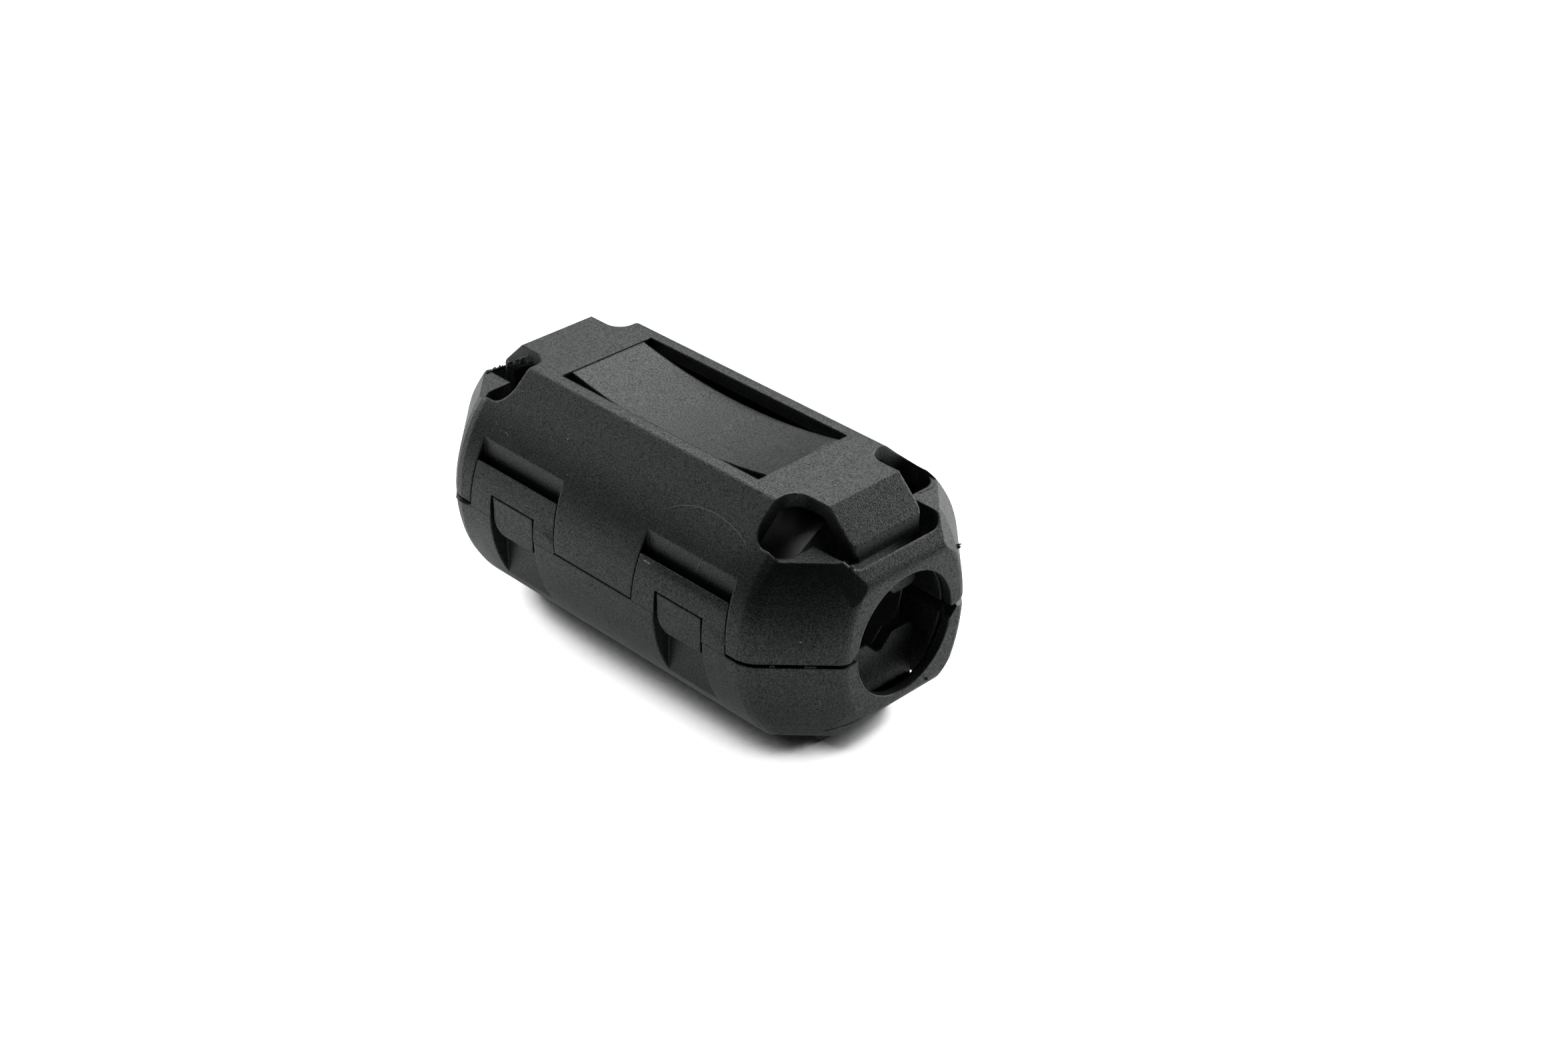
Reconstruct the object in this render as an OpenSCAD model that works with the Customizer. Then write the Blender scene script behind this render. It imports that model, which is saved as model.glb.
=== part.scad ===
// Clip-on ferrite bead: a hinged two-shell plastic case that snaps shut round
// a cable, with half a ferrite cylinder in each shell.
// X runs along the cable, -Y is the latch side, +Y the hinge side, +Z is up.
// The origin is under the middle of the case, on the surface it rests on.

/* [Case] */
// Length of the case along the cable
case_length = 30; // [28:0.5:40]
// Width of the case, whose sides are round
case_width = 16; // [15.4:0.1:17]
// Height over the top and bottom flats
case_height = 14.4; // [14.2:0.1:15]
// Angle above level at which the round side turns into a flat facet
facet_angle = 48; // [44:1:52]
// Radius of the ridge between the facet and the flat
ridge_round = 0.6; // [0.2:0.1:1]
// Wall thickness of the moulding
wall = 0.8; // [0.6:0.05:1]
// Gap between the two closed rims
parting_gap = 0.1; // [0.06:0.02:0.3]
// How much wider the gap is beyond the latches, towards each end
end_gap = 0.1; // [0.02:0.02:0.2]

/* [Ends] */
// Chamfer of each end seen from above
end_chamfer = 3.6; // [3:0.1:4.2]
// Chamfer of each end seen from the side
slope_chamfer = 3.2; // [2.8:0.1:3.6]
// Radius that blends the round side into the end chamfer
chamfer_round = 1.8; // [1.2:0.1:3]
// Radius of the crease between the flat and the slope
crease_round = 1; // [0.4:0.1:1.6]
// Radius round the end face
face_round = 0.8; // [0.3:0.1:1.2]
// Radius of the turned cut that rounds the end face's corners
face_corner_r = 4.85; // [4.6:0.05:5.2]
// Depth of the solid end beyond the ferrite's space
end_depth = 3.3; // [3.1:0.05:3.5]
// Diameter of the cable opening in the end walls
opening_d = 7; // [6:0.1:7.4]
// Chamfer of the opening's inner edge
opening_ease = 0.25; // [0.1:0.05:0.4]
// Chamfer where the opening meets a rim: latch side above, hinge side below
throat_chamfer = 0.5; // [0.1:0.05:0.8]
// Thickness of the end wall round the opening
collar_t = 0.74; // [0.5:0.02:1]
// Half width of the pocket behind the end wall
pocket_half = 3.5; // [3.4:0.05:3.8]
// Corner radius of the pocket in plan
pocket_r = 0.9; // [0.4:0.1:1]

/* [Corner holes] */
// Distance that the corner holes reach in past the solid end
hole_reach = 2.2; // [2:0.05:2.4]
// Half width over the outer edges of the corner holes
hole_half = 5.8; // [5.5:0.05:5.9]
// Corner radius of the holes in plan
hole_r = 1; // [0.5:0.05:1]
// Depth of the ledge at the outside of each hole, below the flat
ledge_depth = 1.95; // [1.6:0.05:2.1]

/* [Tongues and claws] */
// Width of each end tongue and its cable claw
tongue_width = 5.1; // [4.6:0.1:5.4]
// Slot between the tongue's edge and the end wall
tongue_gap = 0.76; // [0.5:0.02:1]
// Corner radius of the tongue's tip
tongue_r = 0.5; // [0.2:0.05:0.7]
// Height of the lip that ends the tongue
lip_height = 1; // [0.8:0.05:1.4]
// How far the lip leans outward
lip_lean = 0.1; // [0.05:0.05:0.3]
// Step from the tongue's edge back to the claw
claw_setback = 0.25; // [0.1:0.05:0.5]
// Thickness of the claw
claw_t = 0.75; // [0.5:0.05:0.9]
// Half the gap between the two claws that face each other
claw_half_gap = 1.15; // [0.8:0.05:1.6]
// Corner radius of the claw's edge
claw_r = 0.5; // [0.3:0.1:0.9]
// Depth of the notch that parts the claw into two fingers
notch_depth = 0.8; // [0.5:0.05:1]
// Radius at the bottom of the notch
notch_r = 0.4; // [0.2:0.05:0.6]

/* [Leaf springs] */
// Length of the window in each flat
window_length = 15; // [12:0.1:16]
// Width of the window
window_width = 6.5; // [6:0.1:7]
// Width of the leaf spring in the window
leaf_width = 5.2; // [4.5:0.1:5.6]
// Thickness of the leaf spring
leaf_t = 0.45; // [0.3:0.05:0.55]
// Depth of the leaf's bow at its middle
leaf_bow = 0.77; // [0.5:0.01:0.8]
// Gap at the leaf's free end
leaf_gap = 0.1; // [0.05:0.05:0.5]

/* [Latches] */
// Distance from each end of the case to the middle of its latch
latch_from_end = 8.45; // [8.2:0.05:9]
// Width of a latch tab at its root
tab_width = 6.95; // [6.5:0.05:7.2]
// Height of a latch tab above the parting plane
tab_height = 2.72; // [2.5:0.02:3]
// Thickness of a latch tab at its root
tab_t = 0.95; // [0.8:0.05:1]
// Sideways draft of the tab in each millimetre of height
tab_draft = 0.08; // [0:0.01:0.12]
// Width of the window in a tab
tab_window_width = 3.6; // [3.4:0.05:4]
// Height of the window's upper edge above the parting plane
tab_window_top = 1.3; // [1.1:0.05:1.5]
// Lead-in chamfer inside the tab's upper edge
lead_in = 0.4; // [0.2:0.05:0.45]
// Clearance round a tab in its recess
tab_clearance = 0.09; // [0.05:0.01:0.15]
// Clearance round a catch in the tab's window
catch_clearance = 0.1; // [0.05:0.01:0.2]
// Width of a catch
catch_width = 3.22; // [2.8:0.02:3.3]
// How far a catch hangs below the parting plane
catch_drop = 0.9; // [0.5:0.05:1.2]
// How far a catch's face lies inside the widest line of the case
catch_inset = 0.1; // [0:0.05:0.4]
// Radius of the catch's lower corner
catch_r = 0.9; // [0.3:0.1:1]
// Width of the relief below a tab's window
relief_width = 3.7; // [3.6:0.05:4.2]

/* [Ferrite] */
// Bore of the ferrite cylinder
ferrite_bore = 7; // [6:0.1:7.4]
// Chamfer of the ferrite's outer end edges
ferrite_chamfer = 0.6; // [0.2:0.1:1.2]
// Clearance at each end of the ferrite
ferrite_end_gap = 0.12; // [0.05:0.01:0.4]
// Clearance beside the ferrite
ferrite_side_gap = 0.15; // [0.05:0.01:0.3]
// Clearance between the ferrite and a leaf spring at its lowest
ferrite_leaf_gap = 0.08; // [0.02:0.01:0.2]
// Gap between the two ferrite halves when the case is shut
ferrite_split = 0.04; // [0.02:0.01:0.1]

/* [Hinge] */
// Width of each hinge strap
strap_width = 3.6; // [2.5:0.1:5]
// Height of each strap from shell to shell
strap_height = 3.2; // [2.4:0.1:4]
// Thickness of a strap at the parting plane
strap_t = 0.4; // [0.3:0.02:0.5]
// Clearance beside and behind each strap
strap_clearance = 0.12; // [0.05:0.01:0.3]
// Depth of the groove along the rims on the hinge side
groove_depth = 0.6; // [0.3:0.05:1]
// Half width of the groove at the outside
groove_half = 0.27; // [0.1:0.01:0.4]

/* [Hidden] */
$fn = 96;
SMALL_FN = 48;
SIDE_FN = 180;
BOW_FN = 720;

PLASTIC = [0.13, 0.13, 0.14];
TAB_PLASTIC = [0.2, 0.2, 0.22];
STRAP_PLASTIC = [0.27, 0.27, 0.3];
FERRITE = [0.36, 0.35, 0.35];

// Cuts run this far past a face, and joined solids overlap by this much
over = 0.5;
side_r = case_width / 2;
half_length = case_length / 2;
half_height = case_height / 2;
rim = parting_gap / 2;

// The bulkheads that hold the ferrite, and the pocket behind the end wall
bulkhead = half_length - end_depth;
collar_face = half_length - collar_t;
hole_start = bulkhead - hole_reach;
ledge = half_height - ledge_depth;
tongue_half = tongue_width / 2;

// Sum of x and height on the sloped faces at the ends
slope_sum = half_length + half_height - slope_chamfer;
tip = collar_face - tongue_gap;
tip_height = slope_sum - tip;
lip_bottom = tip_height - lip_height;
claw_face = tip - claw_setback;

// The leaf's upper face is an arc through the two ends of the window
bow_r = (pow(window_length / 2, 2) + pow(leaf_bow, 2)) / (2 * leaf_bow);

// The ferrite fills the space between the leaves and the bulkheads
ferrite_r = half_height - leaf_bow - leaf_t - ferrite_leaf_gap;
ferrite_half_length = bulkhead - ferrite_end_gap;

// Pads beside the ferrite carry the latch recesses and reliefs in their outer faces
seat = ferrite_r + ferrite_side_gap;
recess_floor = side_r - tab_t - tab_clearance;
relief_floor = recess_floor - catch_clearance;
latch_x = [half_length - latch_from_end, latch_from_end - half_length];
rim_step = latch_x[0] + tab_width / 2 + tab_clearance;
pad_width = tab_width + 2 * (tab_clearance + wall);
pad_height = sqrt(pow(side_r, 2) - pow(relief_floor, 2)) + wall;
catch_face = side_r - catch_inset;
catch_top = tab_window_top - catch_clearance;
strap_face = side_r - strap_t;

// Turns at which the rounded end is cut, from the side towards the end face
TURN_STEP = 15;
CHAMFER_TURN = 45;
LAST_TURN = 75;
PROFILE_STEPS = 12;
ARC_STEPS = 3;
MOST_ROUND = 0.48;

// How fast the turned cut at the end face widens, per unit of length
FACE_TAPER = 1.2;

// Points along an arc, or its centre alone where there is no radius
function arc(centre, r, from, to, steps) =
    r <= 0 ? [centre] :
    [for (i = [0:steps])
        let (a = from + (to - from) * i / steps)
        centre + r * [cos(a), sin(a)]];

// An outline from its first quadrant, which runs from the right to the top
function four_fold(quadrant) =
    let (last = len(quadrant) - 1)
    concat(quadrant,
           [for (i = [last:-1:0]) [-quadrant[i][0], quadrant[i][1]]],
           -quadrant,
           [for (i = [last:-1:0]) [quadrant[i][0], -quadrant[i][1]]]);

// Cross-section: the rounded ridge between the facet and the flat
function ridge_arc(inset) =
    let (r = max(ridge_round - inset, 0),
         z = half_height - inset - r,
         y = (side_r - inset - r - z * sin(facet_angle)) / cos(facet_angle))
    arc([y, z], r, facet_angle, 90, ARC_STEPS);

// Cross-section: a quarter of the round side, up to where the facet starts
function side_arc(inset) = arc([0, 0], side_r - inset, 0, facet_angle, PROFILE_STEPS);

// Side view: a quarter of the outline, with a rounded face edge and crease
function slope_arcs(inset) =
    let (sum = slope_sum - inset * sqrt(2),
         face_r = max(face_round - inset, 0),
         face_x = half_length - inset - face_r,
         crease_r = max(crease_round - inset, 0),
         crease_z = half_height - inset - crease_r)
    concat(arc([face_x, sum - face_r * sqrt(2) - face_x], face_r, 0, 45, ARC_STEPS),
           arc([sum - crease_r * sqrt(2) - crease_z, crease_z], crease_r, 45, 90, ARC_STEPS));

// Distance of the rounded end from the middle, square to a cut at this turn
function end_reach(turn, half_width, inset) =
    let (sum = half_length - end_chamfer + half_width,
         near_r = chamfer_round - inset,
         near_y = half_width - near_r,
         near_x = sum - near_r * (sqrt(2) - 1) - half_width,
         far_r = max(face_round - inset, 0),
         far_x = half_length - inset - far_r,
         far_y = sum - inset * (sqrt(2) - 1) - far_r * sqrt(2) - far_x)
    turn <= CHAMFER_TURN ?
        near_x * sin(turn) + near_y * cos(turn) + near_r :
        far_x * sin(turn) + far_y * cos(turn) + far_r;

// Lifts what is drawn round the cable's axis to where the case rests
module on_axis() {
    translate([0, 0, half_height]) children();
}

module both_ends() {
    children();
    mirror([1, 0, 0]) children();
}

module both_sides() {
    children();
    mirror([0, 1, 0]) children();
}

// Extrudes an outline in (y, z) along the case
module along_x(length) {
    rotate([90, 0, 90]) linear_extrude(length, center = true) children();
}

// Extrudes an outline in (x, z) across the case
module along_y(width) {
    rotate([90, 0, 0]) linear_extrude(width, center = true) children();
}

// Everything in front of x = 0 that lies lower than a height
module below(height) {
    translate([0, -case_width, height - case_height])
        cube([2 * case_length, 2 * case_width, case_height]);
}

// A rectangle between two corners, whose round corners leave a flat on each side
module round_rect(low, high, corner_r) {
    size = high - low;
    r = min(corner_r, MOST_ROUND * min(size[0], size[1]));
    translate([low[0] + r, low[1]]) square([size[0] - 2 * r, size[1]]);
    translate([low[0], low[1] + r]) square([size[0], size[1] - 2 * r]);
    for (x = [low[0] + r, high[0] - r], y = [low[1] + r, high[1] - r])
        translate([x, y]) circle(r, $fn = SMALL_FN);
}

// Round sides, flat facets and flat top and bottom, as one long bar
module bar(inset) {
    tangent = (side_r - inset) * [cos(facet_angle), sin(facet_angle)];
    intersection() {
        union() {
            rotate([0, 90, 0]) cylinder(r = side_r - inset, h = case_length, center = true, $fn = SIDE_FN);
            along_x(case_length) polygon(four_fold(concat([tangent], ridge_arc(inset))));
        }
        cube([case_length, case_width, case_height - 2 * inset], center = true);
    }
}

// A ruled cut across two opposite corners, which follows the side's outline
module end_cut(turn, inset) {
    side = concat(side_arc(inset), ridge_arc(inset));
    rotate([0, 0, 90 - turn]) along_y(2 * case_length)
        polygon(four_fold([for (p = side) [end_reach(turn, p[0], inset), p[1]]]));
}

// A turned cut that rounds the corners of the end face in front
module face_cone() {
    rotate([0, 90, 0]) cylinder(r1 = face_corner_r + FACE_TAPER * case_length,
                                r2 = face_corner_r, h = case_length, center = true);
}

// The outer form of the shut case, or its cavity when moved in by the wall
module case_form(inset) {
    intersection() {
        bar(inset);
        face_cone();
        mirror([1, 0, 0]) face_cone();
        intersection_for (turn = [TURN_STEP:TURN_STEP:LAST_TURN], side = [0, 1])
            mirror([0, side, 0]) end_cut(turn, inset);
        along_y(case_width) polygon(four_fold(slope_arcs(inset)));
    }
}

module cavity() {
    intersection() {
        case_form(wall);
        cube([2 * bulkhead, case_width, case_height], center = true);
    }
}

// Solid blocks at the sides, which hold the ferrite and back the latches
module pads() {
    intersection() {
        case_form(0);
        both_sides() for (x = latch_x) translate([x - pad_width / 2, seat, 0])
            cube([pad_width, side_r, pad_height]);
    }
}

module hole_outline(outer) {
    round_rect([hole_start, tongue_half], [outer, hole_half], hole_r);
}

// Open down to the ferrite, and past its end only down to a ledge
module corner_hole() {
    translate([0, 0, half_height / 2]) linear_extrude(half_height) {
        hole_outline(bulkhead);
        translate([bulkhead - hole_r, tongue_half])
            square([hole_r + over, pocket_half - tongue_half]);
    }
    translate([0, 0, ledge]) linear_extrude(half_height) hole_outline(half_length);
}

// The cable's way through both end walls, eased on their inner faces
module opening() {
    r = opening_d / 2;
    rotate([0, 90, 0]) cylinder(r = r, h = 2 * case_length, center = true);
    both_ends() translate([collar_face, 0, 0]) rotate([0, 90, 0])
        cylinder(r1 = r + opening_ease, r2 = r, h = opening_ease);
}

// The open space behind the end wall, up through the sloped face
module end_pocket() {
    linear_extrude(case_height)
        round_rect([bulkhead - over, -pocket_half], [collar_face, pocket_half], pocket_r);
}

// Side view of a tongue: it bends down the slope, ends in a lip, and carries
// the claw on its inner face
module tongue_profile() {
    inner_sum = slope_sum - wall * sqrt(2);
    root = bulkhead - 2 * over;
    claw_back = claw_face - claw_t;
    polygon([
        [root, half_height],
        [slope_sum - half_height, half_height],
        [tip, tip_height],
        [tip + lip_lean, lip_bottom],
        [claw_face, lip_bottom],
        [claw_face, claw_half_gap],
        [claw_back, claw_half_gap],
        [claw_back, inner_sum - claw_back],
        [inner_sum - half_height + wall, half_height - wall],
        [root, half_height - wall]
    ]);
}

module tongue() {
    intersection() {
        along_y(tongue_width) tongue_profile();
        linear_extrude(case_height)
            round_rect([0, -tongue_half], [tip + lip_lean, tongue_half], tongue_r);
        along_x(case_length) difference() {
            round_rect([-tongue_half, claw_half_gap], [tongue_half, case_height], claw_r);
            notch();
        }
    }
}

// Front view of a claw's notch: a square V with a round bottom
module notch() {
    centre = claw_half_gap + notch_depth - notch_r;
    side = notch_r / sqrt(2);
    depth = centre + side - claw_half_gap + over;
    translate([0, centre]) circle(notch_r, $fn = SMALL_FN);
    translate([0, centre + side]) polygon([
        [-side, 0],
        [side, 0],
        [side + depth, -depth],
        [-side - depth, -depth]
    ]);
}

module window() {
    translate([-window_length / 2 - leaf_gap, -window_width / 2, half_height - wall - over])
        cube([window_length + leaf_gap, window_width, case_height]);
}

// A bowed leaf, fixed at the near end of its window
module leaf() {
    intersection() {
        translate([0, 0, half_height - leaf_bow + bow_r]) rotate([90, 0, 0]) difference() {
            cylinder(r = bow_r + leaf_t, h = leaf_width, center = true, $fn = BOW_FN);
            cylinder(r = bow_r, h = case_width, center = true, $fn = BOW_FN);
        }
        translate([-window_length / 2, -leaf_width / 2, 0])
            cube([window_length + over, leaf_width, half_height]);
    }
}

// What both shells share: the half case with its pads, holes, leaf and claws
module half_shell() {
    difference() {
        union() {
            difference() {
                case_form(0);
                cavity();
            }
            pads();
        }
        opening();
        both_ends() end_pocket();
        both_ends() both_sides() corner_hole();
        window();
        rim_groove();
        strap_notches();
        translate([-half_length, 0, 0]) below(rim);
        both_ends() translate([rim_step, 0, 0]) below(rim + end_gap / 2);
    }
    both_ends() tongue();
    leaf();
}

// A shallow V along the rims on the hinge side, which the shells turn about
module rim_groove() {
    for (turn = [0:TURN_STEP:CHAMFER_TURN], end = [0, 1]) mirror([end, 0, 0])
        rotate([0, 0, -turn]) translate([0, end_reach(turn, side_r, 0), 0])
            along_x(case_length) polygon([
                [-groove_depth, 0],
                [groove_depth, 2 * groove_half],
                [groove_depth, -2 * groove_half]
            ]);
}

module strap_notches() {
    for (x = latch_x) translate([x, side_r, 0])
        cube([strap_width + 2 * strap_clearance,
              2 * (strap_t + strap_clearance), strap_height], center = true);
}

// Front view of a tab, or of its recess when grown by a clearance
module tab_outline(grow, top) {
    foot = tab_width / 2 + grow;
    head = foot - tab_draft * top;
    low = foot + tab_draft * over;
    polygon([[-low, -over], [-foot, 0], [-head, top], [head, top], [foot, 0], [low, -over]]);
}

module recess(x) {
    translate([x, -recess_floor - side_r, 0])
        along_y(2 * side_r) tab_outline(tab_clearance, half_height);
}

// The catch hangs from the recess's floor and ends below the rim
module catch(x) {
    half = catch_width / 2;
    root = recess_floor - wall / 2;
    intersection() {
        translate([x, 0, 0]) along_y(case_width) union() {
            round_rect([-half, -catch_drop], [half, catch_top], catch_r);
            translate([0, -catch_drop]) square([half, catch_top + catch_drop]);
            translate([-half, 0]) square([half, catch_top]);
        }
        union() {
            translate([x - half, -catch_face, -catch_drop])
                cube([catch_width, catch_face - recess_floor, catch_drop + catch_top]);
            translate([x - half, -catch_face, rim])
                cube([catch_width, catch_face - root, catch_top]);
        }
        rotate([0, 90, 0]) cylinder(r = side_r, h = case_length, center = true, $fn = SIDE_FN);
    }
}

module relief(x) {
    translate([x - relief_width / 2, -relief_floor - side_r, -half_height])
        cube([relief_width, side_r, case_height]);
}

// Eases one rim of a shell's end walls where the cable is laid in
module throats() {
    corner = opening_d / 2 + throat_chamfer;
    both_ends() translate([bulkhead + half_length / 2, 0, rim]) along_x(half_length) polygon([
        [corner, 0],
        [corner - 2 * throat_chamfer, 2 * throat_chamfer],
        [0, 0],
        [0, -over],
        [corner, -over]
    ]);
}

module lower_shell() {
    color(PLASTIC) on_axis() difference() {
        mirror([0, 0, 1]) half_shell();
        for (x = latch_x) relief(x);
        mirror([0, 0, 1]) throats();
    }
}

module upper_shell() {
    color(PLASTIC) on_axis() {
        difference() {
            half_shell();
            for (x = latch_x) recess(x);
            mirror([0, 1, 0]) throats();
        }
        for (x = latch_x) catch(x);
    }
}

module ferrite_half() {
    r = ferrite_r;
    half = ferrite_half_length;
    difference() {
        rotate([0, 90, 0]) rotate_extrude($fn = SIDE_FN) polygon([
            [ferrite_bore / 2, -half],
            [r - ferrite_chamfer, -half],
            [r, ferrite_chamfer - half],
            [r, half - ferrite_chamfer],
            [r - ferrite_chamfer, half],
            [ferrite_bore / 2, half]
        ]);
        translate([-half_length, 0, 0]) below(ferrite_split / 2);
    }
}

module lower_ferrite() {
    color(FERRITE) on_axis() mirror([0, 0, 1]) ferrite_half();
}

module upper_ferrite() {
    color(FERRITE) on_axis() ferrite_half();
}

// A sprung loop: two legs and a bar with a window between them
module latch_tab(x) {
    head = side_r - tab_t;
    color(TAB_PLASTIC) on_axis() difference() {
        intersection() {
            rotate([0, 90, 0]) cylinder(r = side_r, h = case_length, center = true, $fn = SIDE_FN);
            translate([x, -head - side_r, 0])
                along_y(2 * side_r) tab_outline(0, tab_height);
            translate([-half_length, -side_r, -rim])
                cube([case_length, side_r, tab_height + rim]);
        }
        translate([x - tab_window_width / 2, -case_width, -over])
            cube([tab_window_width, case_width, tab_window_top + over]);
        translate([0, -head, tab_height]) rotate([45, 0, 0])
            cube([case_length, lead_in * sqrt(2), lead_in * sqrt(2)], center = true);
    }
}

module latch_tab_near() {
    latch_tab(latch_x[0]);
}

module latch_tab_far() {
    latch_tab(latch_x[1]);
}

// A thin strap that bridges the parting line, flush with the case
module hinge_strap(x) {
    color(STRAP_PLASTIC) on_axis() intersection() {
        rotate([0, 90, 0]) cylinder(r = side_r, h = case_length, center = true, $fn = SIDE_FN);
        translate([x - strap_width / 2, strap_face, -strap_height / 2])
            cube([strap_width, strap_t, strap_height]);
    }
}

module hinge_strap_near() {
    hinge_strap(latch_x[0]);
}

module hinge_strap_far() {
    hinge_strap(latch_x[1]);
}

lower_shell();
upper_shell();
lower_ferrite();
upper_ferrite();
latch_tab_near();
latch_tab_far();
hinge_strap_near();
hinge_strap_far();
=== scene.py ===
import math
import random

import bmesh
import bpy
from mathutils import Matrix, Vector, noise
from mathutils.bvhtree import BVHTree


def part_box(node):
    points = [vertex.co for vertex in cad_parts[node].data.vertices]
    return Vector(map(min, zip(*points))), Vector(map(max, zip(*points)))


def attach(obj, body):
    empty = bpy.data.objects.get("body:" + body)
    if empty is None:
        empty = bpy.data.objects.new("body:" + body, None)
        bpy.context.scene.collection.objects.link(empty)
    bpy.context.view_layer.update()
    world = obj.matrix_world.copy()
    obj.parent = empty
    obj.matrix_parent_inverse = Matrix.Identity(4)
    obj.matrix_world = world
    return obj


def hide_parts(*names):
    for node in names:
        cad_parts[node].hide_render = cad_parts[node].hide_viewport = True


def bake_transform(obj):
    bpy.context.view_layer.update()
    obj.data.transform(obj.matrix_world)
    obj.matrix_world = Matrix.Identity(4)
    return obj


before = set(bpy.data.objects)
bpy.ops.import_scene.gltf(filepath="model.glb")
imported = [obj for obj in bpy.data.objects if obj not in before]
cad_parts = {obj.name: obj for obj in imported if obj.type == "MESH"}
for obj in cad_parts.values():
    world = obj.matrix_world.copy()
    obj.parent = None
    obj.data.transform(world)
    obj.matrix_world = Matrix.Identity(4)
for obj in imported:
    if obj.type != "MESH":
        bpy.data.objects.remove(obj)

MM = 0.001

# The photograph's frame, and the camera that was fitted to it
PHOTO_WIDTH = 2352
PHOTO_HEIGHT = 1568
SENSOR_MM = 36.0
FOCAL_PX = 3784.4
CAMERA_AZIMUTH = 44.385
CAMERA_ELEVATION = 31.609
CAMERA_ROLL = 1.160
CAMERA_DISTANCE = 137.33 * MM
CAMERA_TARGET = Vector((3.149, 3.116, 7.2065)) * MM

# Soft lamps: azimuth from straight behind the case, positive to the camera's right,
# elevation, watts, size. The brightest is larger, so that the flat top, seen
# against it, doesn't turn white
LAMP_DISTANCE = 0.5
LAMP_SIZE = 0.3
LARGE_LAMP_SIZE = 1.7 * LAMP_SIZE
LAMPS = [
    ("lamp_right", 47.5, 15, 3.18, LARGE_LAMP_SIZE),
    ("lamp_left", -45, 15, 0.73, LAMP_SIZE),
    ("lamp_overhead", 0, 65, 1.2, LAMP_SIZE),
    ("lamp_behind", -3, 40, 0.48, LAMP_SIZE),
    ("lamp_fill", -90, 40, 0.25, LAMP_SIZE),
]

# The floor, its shaded middle, and how the white there dims beside the case as a painted shadow
FLOOR_HALF = 0.9
FLOOR_SHADED_HALF = 0.03
FLOOR_COLOUR = (0.86, 0.865, 0.88, 1)
FLOOR_ROUGHNESS = 0.9
FLOOR_GLOSSY_GLOW = 0.22
WHITE = (1, 1, 1, 1)
PAINTED_SHADOW_REACH = 9
PAINTED_SHADOW_TILT = 0.8
PAINTED_SHADOW_SAMPLES = 48
PAINTED_SHADOW_DARK = 0.18
PAINTED_SHADOW_LIGHT = 0.34

# Materials, in millimetres. Edges are rounded in the shading, hollows are darkened as painted shade,
# and a painted shade patch dulls the near corner round one pixel of the photograph
PLASTIC_IOR = 1.5
FERRITE_IOR = 2.4
PLASTIC_TINT = (0.93, 1, 0.97, 1)
HOLLOW_SHADE_REACH = 1.1
SHADE_PATCH_PIXEL = (1197, 885)
SHADE_PATCH_NEAR = 1.4
SHADE_PATCH_FAR = 4.6
SHADE_PATCH_SHARE = 0.5
SHELL_ROUNDING = 0.16
TAB_ROUNDING = 0.08
FERRITE_ROUNDING = 0.12
FERRITE_PIT_SIZE = 0.35

SHELLS = ("lower_shell", "upper_shell")
FERRITES = ("lower_ferrite", "upper_ferrite")
STRAPS = ("hinge_strap_near", "hinge_strap_far")
TABS = {"latch_tab_near": "near_latch", "latch_tab_far": "far_latch"}

PARTING_Z = 7.2 * MM

# Bending parts: half the length that a strap bends over, the height that a tab
# bends over, the steps they are cut into, and how close points are merged
STRAP_BEND = 0.45 * MM
STRAP_CUTS = 12
TAB_BEND = 0.9 * MM
TAB_CUTS = 10
MERGE_DISTANCE = 0.0002 * MM
CUT_DISTANCE = 0.0005 * MM


# ---------------------------------------------------------------- camera

def camera_axes():
    azimuth = math.radians(CAMERA_AZIMUTH)
    elevation = math.radians(CAMERA_ELEVATION)
    roll = math.radians(CAMERA_ROLL)
    look = Vector((
        -math.sin(azimuth) * math.cos(elevation),
        math.cos(azimuth) * math.cos(elevation),
        -math.sin(elevation),
    ))
    level_right = Vector((math.cos(azimuth), math.sin(azimuth), 0))
    level_up = level_right.cross(look)
    right = math.cos(roll) * level_right + math.sin(roll) * level_up
    up = -math.sin(roll) * level_right + math.cos(roll) * level_up
    return look, right, up


LOOK, RIGHT, UP = camera_axes()
EYE = CAMERA_TARGET - LOOK * CAMERA_DISTANCE


def away_from_camera():
    """The level direction from the camera to the case."""
    return Vector((LOOK.x, LOOK.y, 0)).normalized()


def add_camera():
    data = bpy.data.cameras.new("camera")
    data.sensor_width = SENSOR_MM
    data.lens = FOCAL_PX / PHOTO_WIDTH * SENSOR_MM
    data.clip_start = 1 * MM
    data.clip_end = 100
    camera = bpy.data.objects.new("camera", data)
    bpy.context.scene.collection.objects.link(camera)
    turn = Matrix((RIGHT, UP, -LOOK)).transposed().to_4x4()
    camera.matrix_world = Matrix.Translation(EYE) @ turn
    bpy.context.scene.camera = camera


# ---------------------------------------------------------------- light

def add_lamp(name, azimuth, elevation, watts, size):
    back = away_from_camera()
    side = Vector((back.y, -back.x, 0))
    turn, lift = math.radians(azimuth), math.radians(elevation)
    away = (back * math.cos(turn) + side * math.sin(turn)) * math.cos(lift)
    away.z = math.sin(lift)
    data = bpy.data.lights.new(name, "AREA")
    data.shape = "SQUARE"
    data.size = size
    data.energy = watts
    lamp = bpy.data.objects.new(name, data)
    lamp.visible_camera = False
    bpy.context.scene.collection.objects.link(lamp)
    lamp.location = away * LAMP_DISTANCE + Vector((0, 0, PARTING_Z))
    lamp.rotation_euler = (-away).to_track_quat("-Z", "Y").to_euler()


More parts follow.
